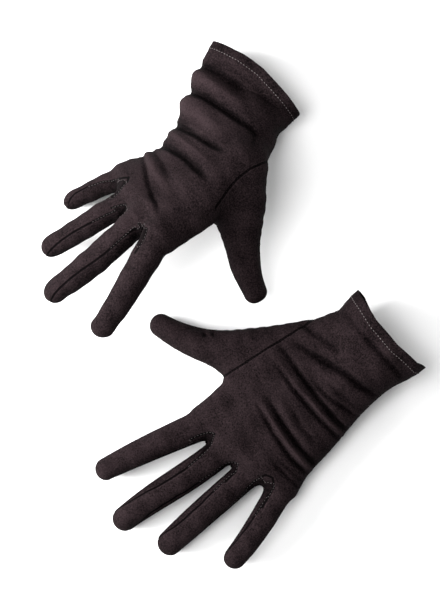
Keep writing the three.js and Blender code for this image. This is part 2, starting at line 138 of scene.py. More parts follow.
RIGHT = dict(
    name="right",
    sign=-1,
    crease_reach=0.75,
    start=(84.5, -120.5, 16.6),
    rows=[(0, 0, 74.6, 2), (7, -13.5, 69, 3), (19, 19, 65, 13), (22, 20, 68, 27), (14, 21, 71, 40),
          (2, 17, 76, 46), (-10, 15, 80, 46), (-20, 12, 81, 45)],
    index=dict(aims=[15, 13, 7], lifts=[-8, -17, -24], roll=34, take_up=1, slip=0),
    middle=dict(aims=[-3, -6, -14], lifts=[-12, -21, -26], roll=42, take_up=5, slip=0),
    ring=dict(aims=[-17, -15, -17], lifts=[-16, -22, -22], roll=52, take_up=9, slip=-2),
    little=dict(aims=[-26, -22, -16], lifts=[-14, -18, -18], roll=62, take_up=13, slip=-7),
    thumb=dict(aims=[66, 50, 74], lifts=[4, -14, -18], roll=24, take_up=11, slip=11),
)


def curve(rows, shares, straight_ends=False):
    """Smooth values at shares from 0 to 1 of rows that are spread evenly."""
    rows = np.asarray(rows, float)
    first, last = rows[0], rows[-1]
    if straight_ends:
        first, last = 2 * rows[0] - rows[1], 2 * rows[-1] - rows[-2]
    rows = np.concatenate([[first], rows, [last]])
    place = np.clip(shares, 0, 1) * (len(rows) - 3)
    i = np.minimum(place.astype(int), len(rows) - 4)
    t = (place - i).reshape((-1,) + (1,) * (rows.ndim - 1))
    a, b, c, d = (rows[i + k] for k in range(4))
    return b + 0.5 * t * (c - a + t * (2 * a - 5 * b + 4 * c - d + t * (3 * (b - c) + d - a)))


def headings(sign, aims, lifts):
    aims, lifts = np.radians(aims), np.radians(lifts)
    level = np.cos(lifts)
    return np.stack([sign * np.sin(aims) * level, np.cos(aims) * level, np.sin(lifts)], -1)


def tube(sign, centres, tangents, rolls, widths, depths, distances, power, cap):
    """A run of cross-sections: centres, directions to the thumb side and to the back, half sizes."""
    level = np.cross(tangents, [0.0, 0.0, 1.0])
    level *= sign / np.linalg.norm(level, axis=1)[:, None]
    back = np.cross(level, tangents) * sign
    turn = np.radians(rolls)[:, None]
    return dict(
        centre=centres,
        tangent=tangents,
        side=level * np.cos(turn) + back * np.sin(turn),
        back=back * np.cos(turn) - level * np.sin(turn),
        half=np.stack([widths, depths], 1),
        at=distances,
        power=power,
        cap=cap,
    )


def sleeve(glove):
    """The hand's sleeve, from a little behind the cuff to the knuckle line."""
    rows = np.array(glove["rows"], float)
    steps = headings(glove["sign"], rows[1:, 0], rows[1:, 1]) * np.array(STRETCHES)[:, None]
    joints = np.array(glove["start"]) + np.concatenate([np.zeros((1, 3)), np.cumsum(steps, 0)])
    shares = np.linspace(0, 1, 29)
    centres = curve(joints, shares, True)
    tangents = np.gradient(centres, axis=0)
    tangents /= np.linalg.norm(tangents, axis=1)[:, None]
    half_widths = curve(rows[:, 2], shares) / 2
    half_depths = np.sqrt(2 * (curve(GIRTHS, shares) / (2 * np.pi)) ** 2 - half_widths**2)
    row_distances = np.concatenate([[0], np.cumsum(STRETCHES)])
    distances = np.interp(shares * len(STRETCHES), range(len(STRETCHES) + 1), row_distances)
    return tube(
        glove["sign"],
        np.concatenate([[centres[0] - BEHIND_CUFF * tangents[0]], centres]),
        np.concatenate([tangents[:1], tangents]),
        np.concatenate([[rows[0, 3]], curve(rows[:, 3], shares)]),
        np.concatenate([half_widths[:1], half_widths]),
        np.concatenate([half_depths[:1], half_depths]),
        np.concatenate([[-BEHIND_CUFF], distances]),
        2.4,
        9,
    )


def digit(glove, name, root, rear=None):
    """One finger or the thumb, from its root to where its tip begins to round off."""
    pose, size = glove[name], SIZES[name]
    total = size["length"] - pose["take_up"]
    middles = (np.arange(DIGIT_STEPS) + 0.5) / DIGIT_STEPS
    steps = headings(glove["sign"], curve(pose["aims"], middles), curve(pose["lifts"], middles))
    steps = steps * total / DIGIT_STEPS
    joints = root + np.concatenate([np.zeros((1, 3)), np.cumsum(steps, 0)])
    tip = size["widths"][-1] / 2
    shares = np.linspace(0, 1 - tip / total, DIGIT_STEPS + 1)
    half_widths = curve(size["widths"], shares) / 2
    half_depths = curve(size["depths"], shares) / 2 if name == "thumb" else half_widths * size["flatness"]
    made = tube(
        glove["sign"],
        curve(joints, shares, True),
        headings(glove["sign"], curve(pose["aims"], shares), curve(pose["lifts"], shares)),
        np.full(DIGIT_STEPS + 1, float(pose["roll"])),
        half_widths,
        half_depths,
        shares * total,
        2.0,
        tip,
    )
    if rear is not None:
        for key in ("centre", "tangent", "side", "back", "half", "at"):
            made[key] = np.concatenate([[rear[key]], made[key]])
    made["total"] = total
    return made


def section(path, distance):
    """The sleeve's cross-section at a distance along it."""
    return {
        key: np.array([np.interp(distance, path["at"], path[key][:, k]) for k in range(path[key].shape[1])])
        for key in ("centre", "tangent", "side", "back", "half")
    }


def tubes_of(glove):
    """The sleeve and the five digit tubes of one glove, thumb last."""
    hand = sleeve(glove)
    total = hand["at"][-1]
    knuckles, inside = section(hand, total), section(hand, total - INSIDE_HAND)
    offsets = [0.0]
    for before, name in zip(FINGERS, FINGERS[1:]):
        gap = (SIZES[before]["widths"][0] + SIZES[name]["widths"][0]) / 2 + SIZES[before]["web"]
        offsets.append(offsets[-1] - gap)
    tubes = {"hand": hand}
    for name, offset in zip(FINGERS, offsets):
        across = offset - offsets[-1] / 2
        ahead = SIZES[name]["ahead"] + glove[name]["slip"]
        root = knuckles["centre"] + across * knuckles["side"] + ahead * knuckles["tangent"]
        rear = dict(inside)
        narrowed = 0.85
        rear["centre"] = inside["centre"] + narrowed * across * inside["side"]
        rear["half"] = narrowed * SIZES[name]["widths"][0] / 2 * np.array([1, SIZES[name]["flatness"]])
        rear["at"] = -np.linalg.norm(root - rear["centre"])
        tubes[name] = digit(glove, name, root, rear)
    base = section(hand, THUMB_ROOT[0] + glove["thumb"]["slip"])
    tubes["thumb"] = digit(glove, "thumb", base["centre"] + THUMB_ROOT[1] * base["side"])
    return tubes


# ---- The knitted cloth, drawn over the hands -------------------------------------------------------------
# The stretch knit follows the tubes and runs smoothly from one into the next. It is rough-meshed first and
# then drawn exactly onto that smooth shape. Rows of creases lie across the back where the glove is slack.
TUBE_SIDES = 40
BETWEEN_FINGERS = 3  # how softly one tube runs into the next
FINGERS_TO_HAND = 6
THUMB_TO_HAND = 8
STRETCH = 2.5  # the furthest that a point moves in one round


def nearest(points, path):
    """Per point: how far outside the tube, distance along it, place round the section in half sizes."""
    found = np.full((len(points), 5), 1e3)
    low, high = path["centre"].min(0) - 60, path["centre"].max(0) + 60
    low = np.maximum(low, (path["centre"] - path["half"].max() - 16).min(0))
    high = np.minimum(high, (path["centre"] + path["half"].max() + 16).max(0))
    which = np.flatnonzero(((points > low) & (points < high)).all(1))
    close = points[which]
    best = found[which]
    count = len(path["centre"]) - 1
    for i in range(count):
        step = path["centre"][i + 1] - path["centre"][i]
        length = np.linalg.norm(step)
        offset = close - path["centre"][i]
        share = np.clip(offset @ step / length**2, 0, 1)[:, None]
        away = offset - share * step
        side = path["side"][i] + share * (path["side"][i + 1] - path["side"][i])
        back = path["back"][i] + share * (path["back"][i + 1] - path["back"][i])
        half = path["half"][i] + share * (path["half"][i + 1] - path["half"][i])
        least = half.min(1)
        over = away @ step / length
        x = (away * side).sum(1) / half[:, 0]
        y = (away * back).sum(1) / half[:, 1]
        z = over / (path["cap"] if i == count - 1 else least)
        power = path["power"]
        outside = ((abs(x) ** power + abs(y) ** power + abs(z) ** power) ** (1 / power) - 1) * least
        closer = outside < best[:, 0]
        along = path["at"][i] + share[:, 0] * length + over
        best[closer] = np.stack([outside, along, x, y, half.mean(1)], 1)[closer]
    found[which] = best
    return found


def join(a, b, width):
    """The lesser of two fields, rounded where they are alike."""
    share = np.clip(0.5 + 0.5 * (b - a) / width, 0, 1)
    return b + (a - b) * share - width * share * (1 - share)


def skin(points, tubes):
    """How far outside the glove's smooth shape each point is."""
    fingers = nearest(points, tubes["index"])[:, 0]
    for name in FINGERS[1:]:
        fingers = join(fingers, nearest(points, tubes[name])[:, 0], BETWEEN_FINGERS)
    whole = join(nearest(points, tubes["hand"])[:, 0], fingers, FINGERS_TO_HAND)
    return join(whole, nearest(points, tubes["thumb"])[:, 0], THUMB_TO_HAND)


def rough_mesh(tubes):
    """One closed quad mesh round all the tubes together."""
    points, faces = [], []
    turns = np.arange(TUBE_SIDES) * 2 * np.pi / TUBE_SIDES
    for path in tubes.values():
        sharp = 2 / path["power"]
        x = np.sign(np.cos(turns)) * abs(np.cos(turns)) ** sharp
        y = np.sign(np.sin(turns)) * abs(np.sin(turns)) ** sharp
        stations = [(i, 0.0, 1.0) for i in range(len(path["centre"]))]
        stations += [(-1, path["cap"] * np.sin(a), np.cos(a)) for a in (0.5, 1.0, 1.4)]
        start = sum(len(p) for p in points)
        for i, ahead, scale in stations:
            middle = path["centre"][i] + ahead * path["tangent"][i]
            wide, deep = path["half"][i] * scale
            points.append(middle + np.outer(x * wide, path["side"][i]) + np.outer(y * deep, path["back"][i]))
        for r in range(len(stations) - 1):
            first = start + TUBE_SIDES * r
            second = first + TUBE_SIDES
            for k in range(TUBE_SIDES):
                after = (k + 1) % TUBE_SIDES
                faces.append((first + k, first + after, second + after, second + k))
        last = start + TUBE_SIDES * (len(stations) - 1)
        faces += [tuple(range(start, start + TUBE_SIDES))[::-1], tuple(range(last, last + TUBE_SIDES))]
    mesh = bpy.data.meshes.new("rough")
    mesh.from_pydata(np.concatenate(points).tolist(), [], faces)
    rough = bpy.data.objects.new("rough", mesh)
    bpy.context.scene.collection.objects.link(rough)
    grid = rough.modifiers.new("grid", "REMESH")
    grid.mode = "VOXEL"
    grid.voxel_size = 1.0
    made = bpy.data.meshes.new_from_object(rough.evaluated_get(bpy.context.evaluated_depsgraph_get()))
    bpy.data.objects.remove(rough)
    bpy.data.meshes.remove(mesh)
    return made


def drawn_on(points, tubes, rounds):
    """Points moved onto the smooth shape."""
    probe = 0.05
    for _ in range(rounds):
        value = skin(points, tubes)
        slope = np.stack([skin(points + step, tubes) - value for step in probe * np.eye(3)], 1) / probe
        size = np.maximum((slope**2).sum(1), 0.04)
        move = -slope * (value / size)[:, None]
        length = np.linalg.norm(move, axis=1)[:, None]
        points = points + move * np.minimum(1, STRETCH / np.maximum(length, 1e-9))
    return points


def evened(points, edges):
    """Points moved half way to the middle of their neighbours."""
    total = np.zeros_like(points)
    count = np.bincount(edges.ravel(), minlength=len(points))
    for k in range(3):
        total[:, k] = np.bincount(edges[:, 0], points[edges[:, 1], k], len(points))
        total[:, k] += np.bincount(edges[:, 1], points[edges[:, 0], k], len(points))
    return 0.5 * points + 0.5 * total / count[:, None]


def point_normals(points, triangles):
    a, b, c = (points[triangles[:, k]] for k in range(3))
    face = np.cross(b - a, c - a)
    total = np.zeros_like(points)
    for corner in range(3):
        for k in range(3):
            total[:, k] += np.bincount(triangles[:, corner], face[:, k], len(points))
    return total / np.maximum(np.linalg.norm(total, axis=1), 1e-12)[:, None]


def crease(flat, line, width, height):
    """Height of one crease over points of the plan. It dies away slowly towards its last point."""
    line = np.array(line, float)
    lengths = np.concatenate([[0], np.cumsum(np.linalg.norm(np.diff(line, axis=0), axis=1))])
    nearest_yet = np.full(len(flat), 1e9)
    place = np.zeros(len(flat))
    for i in range(len(line) - 1):
        step = line[i + 1] - line[i]
        share = np.clip((flat - line[i]) @ step / (step @ step), 0, 1)
        gap = np.linalg.norm(flat - line[i] - share[:, None] * step, axis=1)
        closer = gap < nearest_yet
        nearest_yet[closer] = gap[closer]
        place[closer] = (lengths[i] + share * (lengths[i + 1] - lengths[i]))[closer] / lengths[-1]
    fade = np.clip(np.minimum(5 * place, 2.4 - 2.4 * place), 0, 1)
    return height * fade * (2 - fade) * np.exp(-((nearest_yet / width) ** 2))


# Creases of each glove in plan: points along it, mostly from the hand's outer edge inwards, half width, and
# height above the cloth (below it if negative).
CREASES = {
    "left": [
        ([(-130, 33), (-112, 32.5), (-100, 31.5), (-85, 28.5), (-64, 23)], 1.7, -3.0),
        ([(-130, 36.8), (-104, 36), (-85, 33), (-62, 27)], 1.8, 1.8),
        ([(-126, 40.5), (-104, 40.5), (-85, 37), (-62, 30)], 1.2, -1.9),
        ([(-112, 27.5), (-92, 25.5), (-76, 20), (-68, 13)], 2.2, 0.9),
        ([(-110, 22.5), (-94, 21), (-80, 16)], 1.6, -1.1),
        ([(-128, 9.8), (-115, 10.2), (-95, 9.6), (-75, 8), (-52, 4)], 1.3, -1.9),
        ([(-130, 6.2), (-115, 6.2), (-95, 6), (-75, 4.6), (-52, 1)], 1.3, 1.3),
        ([(-128, 2.5), (-108, 2.8), (-90, 1.3), (-72, -1.5), (-46, -6.5)], 1.7, -2.9),
        ([(-120, -9), (-105, -6), (-92, -4), (-76, -4.5)], 1.4, -1.7),
        ([(-120, -27), (-105, -23.7), (-88, -21.5), (-70, -17), (-50, -14)], 2.1, -2.7),
        ([(-116, -13), (-100, -11), (-84, -12)], 2.0, -0.7),
        ([(-98, -14), (-82, -13), (-66, -9)], 2.4, 0.7),
        ([(-128, 51), (-112, 50.5), (-95, 50)], 1.3, -1.6),
        ([(-128, 47), (-112, 46.5), (-97, 46.5)], 1.2, -1.0),
        ([(-126, -45.5), (-100, -46.8), (-80, -47.5), (-56, -50)], 2.0, -1.6),
        ([(-80, -29), (-66, -28), (-44, -25)], 2.0, -1.6),
        ([(-12, 24), (-7, 22), (-2, 24), (3, 30)], 1.5, -1.4),
        ([(-15, 20), (-10, 17.5), (-5, 19)], 1.2, -1.2),
    ],
    "right": [
        ([(106, -33), (93, -26), (85, -20.5), (74, -15), (62, -12)], 1.4, -1.3),
        ([(108, -34), (85, -28), (66, -24)], 3.4, 1.5),
        ([(104, -38), (88, -35), (74, -30)], 1.5, -1.0),
        ([(108, -38), (92, -45), (80, -47.5), (56, -47)], 2.2, -3.4),
        ([(108, -51), (85, -54.5), (62, -55)], 2.4, 1.5),
        ([(110, -55), (92, -61.5), (80, -63.5), (60, -68)], 2.0, -3.2),
        ([(112, -73), (86, -75), (66, -76)], 5.4, 3.0),
        ([(120, -77), (98, -85), (85, -87), (66, -90), (52, -91)], 2.2, -3.5),
        ([(122, -90), (95, -95), (74, -97)], 4.0, 2.3),
        ([(126, -95), (104, -102), (84, -106)], 2.4, -2.4),
        ([(112, -106), (84, -112), (60, -112)], 2.0, -0.8),
        ([(78, -16), (70, -14), (62, -9)], 1.5, -0.8),
        ([(66, -94), (58, -89), (48, -80)], 2.0, -1.1),
    ],
}


def slack(flat, normals, glove):
    """Height of all the creases of a glove, with a faint unevenness all over; none where it rests."""
    height = sum(crease(flat, *row) for row in CREASES[glove["name"]])
    for angle, wave, phase in ((0.4, 23, 0.3), (1.9, 17, 2.1), (2.8, 29, 4.0), (1.2, 11, 5.2)):
        across = flat @ [np.cos(angle), np.sin(angle)]
        height = height + 0.16 * np.sin(2 * np.pi * across / wave + phase)
    facing_up = np.clip(glove["crease_reach"] + 1.6 * normals[:, 2], 0, 1)
    x, y = flat.T
    lumps = np.sin(x / 5.3 + y / 8.1) * np.sin(y / 6.4 - x / 11.7) + 0.6 * np.sin(x / 3.1 - y / 3.9 + 1)
    return height * facing_up + 0.22 * lumps * np.clip(1.5 * normals[:, 2], 0, 1)


# ---- Cutting the cloth into its sewn pieces --------------------------------------------------------------
# A glove is sewn from a back and a palm piece, a thumb piece and narrow strips between the fingers
# (fourchettes). The cuts run along its real seams: down both edges of every fourchette, round the crotches,
# round the thumb and along the outer edge of the hand. The cloth dips a little at every seam.
THUMB_SEAMS = {
    "left": [(-60, -70), (-50, -25), (-48, -15), (-43, 5), (-40, 20), (-37, 36), (-33, 52)],
    "right": [(30, -110), (41, -79), (44, -70), (45, -60), (44, -50), (41, -35), (38, -24), (33, -8)],
}
CROTCHES = {
    "left": [
        [(-63, 96), (-62.3, 80), (-62, 70), (-59, 64), (-56, 66), (-52, 73), (-49, 84), (-45, 96)],
        [(-87, 94), (-86, 80), (-86.2, 72), (-83.5, 67.5), (-80, 69.5), (-77.5, 77), (-74, 94)],
        [(-117, 84), (-113, 70), (-110.5, 61.5), (-105.5, 57.5), (-101, 59.5), (-99, 68), (-99.5, 84)],
    ],
    "right": [
        [(55, 24), (59, 10), (60.5, 4), (62.5, 1.5), (65.5, 3.5), (68.5, 8.5), (71, 24)],
        [(81, 20), (82, 8), (82.3, 2.5), (84, 0.3), (87, 4), (90, 10), (94, 22)],
        [(94, 8), (93.6, -5), (94, -11), (95.5, -13.5), (98.5, -10), (103, -4), (110, 6)],
    ],
}
# Half angle, seen from the side, that a fourchette covers from finger root to tip.
SEAM_ANGLES = {
    "left": {
        "index": (None, [40, 22, 20, 15]),
        "middle": ([42, 58, 48, 28], [40, 42, 45, 30]),
        "ring": ([36, 46, 52, 38], [30, 24, 22, 15]),
        "little": ([52, 46, 38, 22], None),
    },
    "right": {
        "index": (None, [40, 38, 34, 20]),
        "middle": ([42, 42, 56, 56], [38, 36, 32, 20]),
        "ring": ([26, 36, 46, 40], [38, 36, 32, 20]),
        "little": ([6, 46, 66, 70], None),
    },
}
CUFF_EDGES = {
    "left": ([-130, -124, -120, -100, -80, -66, -58], [-62.5, -61.5, -59.8, -58.5, -60, -63.6, -65.5],
             [-63, -62.5, -61, -60.3, -62.8, -67.4, -67.8]),
    "right": ([40, 47, 60, 84, 100, 122, 130], [-118, -121, -122.5, -123.5, -121.2, -114.8, -112],
              [-118, -120, -120.5, -120.5, -118.5, -113, -111]),
}
HEM_ROWS = {"left": 5.7, "right": 5.4}
# How near a digit's tube a point has to be to count as its cloth, how far along it the gussets reach, and
# the distance from a seam that stands for none near.
ON_FINGER = 5
ON_THUMB = 10
ROUND_THUMB = 14
GUSSET_REACH = 9
NO_SEAM = 9.0


def bound(line, flat):
    """Signed distance in plan from a V of seam, more than 0 inside the V."""
    line = np.array(line, float)
    gap = np.full(len(flat), 1e9)
    for a, b in zip(line, line[1:]):
        step = b - a
        share = np.clip((flat - a) @ step / (step @ step), 0, 1)[:, None]
        gap = np.minimum(gap, np.linalg.norm(flat - a - share * step, axis=1))
    inside = np.zeros(len(flat), bool)
    for a, b in zip(line, np.roll(line, -1, axis=0)):
        crosses = (a[1] > flat[:, 1]) != (b[1] > flat[:, 1])
        rise = b[1] - a[1] if b[1] != a[1] else 1.0
        inside ^= crosses & (flat[:, 0] < (b[0] - a[0]) * (flat[:, 1] - a[1]) / rise + a[0])
    return np.where(inside, gap, -gap)


def cut(values, triangles, name, columns, where, snap=0.15):
    """Divides the triangles where a column of values crosses 0, between points that are both allowed."""
    column = columns[name]
    allowed = where(values)
    small = allowed & (abs(values[:, column]) < snap)
    values[small, column] = 0
    level = values[:, column]
    pairs = np.sort(triangles[:, [0, 1, 1, 2, 2, 0]].reshape(-1, 2), axis=1)
    keys, which = np.unique(pairs[:, 0] * len(values) + pairs[:, 1], return_inverse=True)
    a, b = keys // len(values), keys % len(values)
    split = (level[a] * level[b] < 0) & allowed[a] & allowed[b]
    middle = np.full(len(keys), -1)
    middle[split] = len(values) + np.arange(split.sum())
    a, b = a[split], b[split]
    share = (level[a] / (level[a] - level[b]))[:, None]
    values = np.concatenate([values, values[a] + share * (values[b] - values[a])])
    middle = middle[which.ravel()].reshape(-1, 3)
    kept = [triangles[(middle < 0).all(1)]]
    for turn in range(3):
        t, m = np.roll(triangles, -turn, axis=1), np.roll(middle, -turn, axis=1)
        one = (m[:, 0] >= 0) & (m[:, 1] < 0) & (m[:, 2] < 0)
        two = (m[:, 0] >= 0) & (m[:, 1] >= 0) & (m[:, 2] < 0)
        kept += [
            np.stack([t[one, 0], m[one, 0], t[one, 2]], 1),
            np.stack([m[one, 0], t[one, 1], t[one, 2]], 1),
            np.stack([m[two, 0], t[two, 1], m[two, 1]], 1),
            np.stack([t[two, 0], m[two, 0], m[two, 1]], 1),
            np.stack([t[two, 0], m[two, 1], t[two, 2]], 1),
        ]
    return values, np.concatenate(kept)


def make_cloth(glove):
    """The whole cloth of one glove, cut along its seams: a table of values per point, and the triangles."""
    tubes = tubes_of(glove)
    name, sign = glove["name"], glove["sign"]
    mesh = rough_mesh(tubes)
    points = np.zeros(3 * len(mesh.vertices))
    mesh.vertices.foreach_get("co", points)
    points = points.reshape(-1, 3)
    edges = np.zeros(2 * len(mesh.edges), int)
    mesh.edges.foreach_get("vertices", edges)
    edges = edges.reshape(-1, 2)
    mesh.calc_loop_triangles()
    triangles = np.zeros(3 * len(mesh.loop_triangles), int)
    mesh.loop_triangles.foreach_get("vertices", triangles)
    triangles = triangles.reshape(-1, 3)
    bpy.data.meshes.remove(mesh)
    points = drawn_on(points, tubes, 2)
    for _ in range(2):
        points = drawn_on(evened(points, edges), tubes, 1)
    normals = point_normals(points, triangles)
    flat = points[:, :2]
    height = slack(flat, normals, glove)
    shaped = points + normals * height[:, None]
    columns, table = {}, [shaped]
    found = {key: nearest(points, path) for key, path in tubes.items()}

    def add(label, value):
        columns[label] = sum(t.shape[1] if t.ndim > 1 else 1 for t in table)
        table.append(np.asarray(value, float)[:, None])

    add("height", height)
    across, top, under = CUFF_EDGES[name]
    rise = np.clip(0.5 + found["hand"][:, 3], 0, 1)
    edge = np.interp(flat[:, 0], across, top) * rise + np.interp(flat[:, 0], across, under) * (1 - rise)
    add("cuff", flat[:, 1] - edge)
    add("row", flat[:, 1] - edge - HEM_ROWS[name])
    seam = np.array(THUMB_SEAMS[name], float)
    add("thumb", sign * (flat[:, 0] - np.interp(flat[:, 1], seam[:, 1], seam[:, 0])))
    add("thumb_near", found["thumb"][:, 0])
    add("hand_up", found["hand"][:, 3] * found["hand"][:, 4] * 0.5)
    add("hand_side", found["hand"][:, 2])
    for finger in FINGERS:
        outside, along, side, up, half = found[finger].T
        add(finger + "_near", outside)
        add(finger + "_along", along)
        add(finger + "_side", side)
        add(finger + "_up", up * half)
        end = tubes[finger]["total"] - 4
        share = np.clip(along / end, 0, 1)
        for word, turned, angles in zip(("thumb_side", "little_side"), (1, -1), SEAM_ANGLES[name][finger]):
            if angles is not None:
                angle = np.radians(curve(angles, share)) * np.sqrt(1 - share**6)
                high = (up * np.cos(angle) - turned * side * np.sin(angle)) * half
                low = (up * np.cos(angle) + turned * side * np.sin(angle)) * half
                add(f"{finger}_{word}_back", high)
                add(f"{finger}_{word}_palm", low)
    for i in range(3):
        add(f"between_{i}", found[FINGERS[i]][:, 0] - found[FINGERS[i + 1]][:, 0])
        add(f"crotch_{i}", bound(CROTCHES[name][i], flat))
    values = np.concatenate(table, axis=1)

    def col(v, label):
        return v[:, columns[label]]

    def on_finger(finger, beyond=-1.0):
        others = [f for f in FINGERS if f != finger]

        def test(v):
            mine = col(v, finger + "_near") <= np.min([col(v, f + "_near") for f in others], axis=0) + 0.6
            return mine & (col(v, finger + "_near") < 6) & (col(v, finger + "_along") > beyond)

        return test

    def anywhere(v):
        return np.ones(len(v), bool)

    values, triangles = cut(values, triangles, "cuff", columns, anywhere, 0.02)
    triangles = triangles[col(values, "cuff")[triangles].mean(1) > 0]
    values, triangles = cut(values, triangles, "row", columns, anywhere, 0.02)
    values, triangles = cut(values, triangles, "thumb", columns, lambda v: col(v, "thumb_near") < ROUND_THUMB)
    values, triangles = cut(values, triangles, "hand_up", columns, lambda v: col(v, "hand_side") ** 2 < 4)
    for i in range(3):
        pair = [FINGERS[i], FINGERS[i + 1]]
        values, triangles = cut(
            values, triangles, f"between_{i}", columns,
            lambda v: (np.max([col(v, f + "_near") for f in pair], axis=0) < 9)
            & (np.min([col(v, f + "_along") for f in pair], axis=0) > -14),
        )
        values, triangles = cut(
            values, triangles, f"crotch_{i}", columns,
            lambda v: np.min([col(v, f + "_along") for f in pair], axis=0) < GUSSET_REACH,
        )
    for finger in FINGERS:
        values, triangles = cut(values, triangles, finger + "_along", columns, on_finger(finger, -4))
        for word, turned, angles in zip(("thumb_side", "little_side"), (1, -1), SEAM_ANGLES[name][finger]):
            side = finger + "_side"
            on = on_finger(finger)
            facing = lambda v: on(v) & (turned * col(v, side) > -0.3)
            if angles is None:
                values, triangles = cut(values, triangles, finger + "_up", columns, facing)
                continue
            for edge_name in ("back", "palm"):
                values, triangles = cut(values, triangles, f"{finger}_{word}_{edge_name}", columns, facing)
        beyond_end = lambda v: on(v) & (col(v, finger + "_along") > tubes[finger]["total"] - 9)
        values, triangles = cut(values, triangles, finger + "_up", columns, beyond_end)
    return tubes, values, triangles, columns


def name_pieces(glove, values, triangles, columns):
    """The CAD piece that each triangle stands for, without the glove's name."""
    name = glove["name"]
    middle = values[triangles].mean(1)

    def col(label):
        return middle[:, columns[label]]

    labels = np.where(col("hand_up") > 0, "back_panel", "palm_panel").astype(object)
    labels[(col("thumb") > 0) & (col("thumb_near") < ON_THUMB)] = "thumb_panel"
    near = np.stack([col(f + "_near") for f in FINGERS], 1)
    owner = near.argmin(1)
    for i, finger in enumerate(FINGERS):
        mine = (owner == i) & (near[:, i] < ON_FINGER)
        beyond = mine & (col(finger + "_along") > 0)
        both = all(a is not None for a in SEAM_ANGLES[name][finger])
        labels[beyond] = np.where(col(finger + "_up")[beyond] > 0, finger + "_back", finger + "_palm")
        for word, turned, angles in zip(("thumb_side", "little_side"), (1, -1), SEAM_ANGLES[name][finger]):
            if angles is None:
                continue
            strip = (col(f"{finger}_{word}_back") < 0) & (col(f"{finger}_{word}_palm") > 0)
            strip &= beyond & (turned * col(finger + "_side") > 0)
            crotch = i - 1 if word == "thumb_side" else i
            gusset = mine & (col(f"crotch_{crotch}") > 0) & (col(finger + "_along") < GUSSET_REACH)
            labels[strip | gusset] = f"{finger}_fourchette" + (f"_{word}" if both else "")
    return labels


def seam_distance(glove, values, columns):
    """Millimetres from each point to the nearest seam line."""
    name = glove["name"]

    def col(label):
        return values[:, columns[label]]

    near = np.stack([col(f + "_near") for f in FINGERS], 1)
    gap = np.where(col("thumb_near") < ROUND_THUMB, abs(col("thumb")), NO_SEAM)
    on_hand = near.min(1) > 3
    outer = on_hand & (col("hand_side") < -0.5)
    gap = np.where(outer, np.minimum(gap, 0.35 + abs(col("hand_up"))), gap)
    for i, finger in enumerate(FINGERS):
        mine = (near.argmin(1) == i) & (near[:, i] < ON_FINGER)
        for word, turned, angles in zip(("thumb_side", "little_side"), (1, -1), SEAM_ANGLES[name][finger]):
            if angles is None:
                continue
            crotch = i - 1 if word == "thumb_side" else i
            v_gap = abs(col(f"crotch_{crotch}"))
            along = col(finger + "_along")
            side = mine & (turned * col(finger + "_side") > -0.3)
            line = np.minimum(abs(col(f"{finger}_{word}_back")), abs(col(f"{finger}_{word}_palm")))
            gap = np.where(side & (along > 7), np.minimum(gap, line), gap)
            gap = np.where(along < GUSSET_REACH, np.minimum(gap, v_gap), gap)
    return gap


# ---- Materials: brushed black knit, the hem's inner face, and sewing thread ------------------------------
# The cloth is a fine matte knit, brown-black with a short brushed nap that catches light in specks. Its
# seams show as thin dark lines with a painted highlight beside them. Painted shade darkens its fold valleys,
# the sides turned away from the top and the fourchettes near the crotches, and a painted highlight lightens
# the fold ridges; the hem band is made darker too. The hem's inner ply is the cloth's smoother wrong side,
# and the thread is a paler grey.
class Value:
    """A number in a material that can be used in sums."""

    def __init__(self, tree, socket):
        self.tree = tree
        self.socket = socket

    def math(self, operation, *others):
        node = self.tree.nodes.new("ShaderNodeMath")
        node.operation = operation
        for place, other in enumerate((self, *others)):
            if isinstance(other, Value):
                self.tree.links.new(other.socket, node.inputs[place])
            else:
                node.inputs[place].default_value = other
        return Value(self.tree, node.outputs[0])

    def __add__(self, other):
        return self.math("ADD", other)

    def __sub__(self, other):
        return self.math("SUBTRACT", other)

    def __mul__(self, other):
        return self.math("MULTIPLY", other)

    def held(self, low, high):
        return self.math("MAXIMUM", low).math("MINIMUM", high)


def add_node(tree, kind, settings, sockets):
    """A node with its settings, its inputs set or linked."""
    node = tree.nodes.new(kind)
    for key, value in settings.items():
        setattr(node, key, value)
    for key, value in sockets.items():
        if isinstance(value, Value):
            tree.links.new(value.socket, node.inputs[key])
        else:
            node.inputs[key].default_value = value
    return node


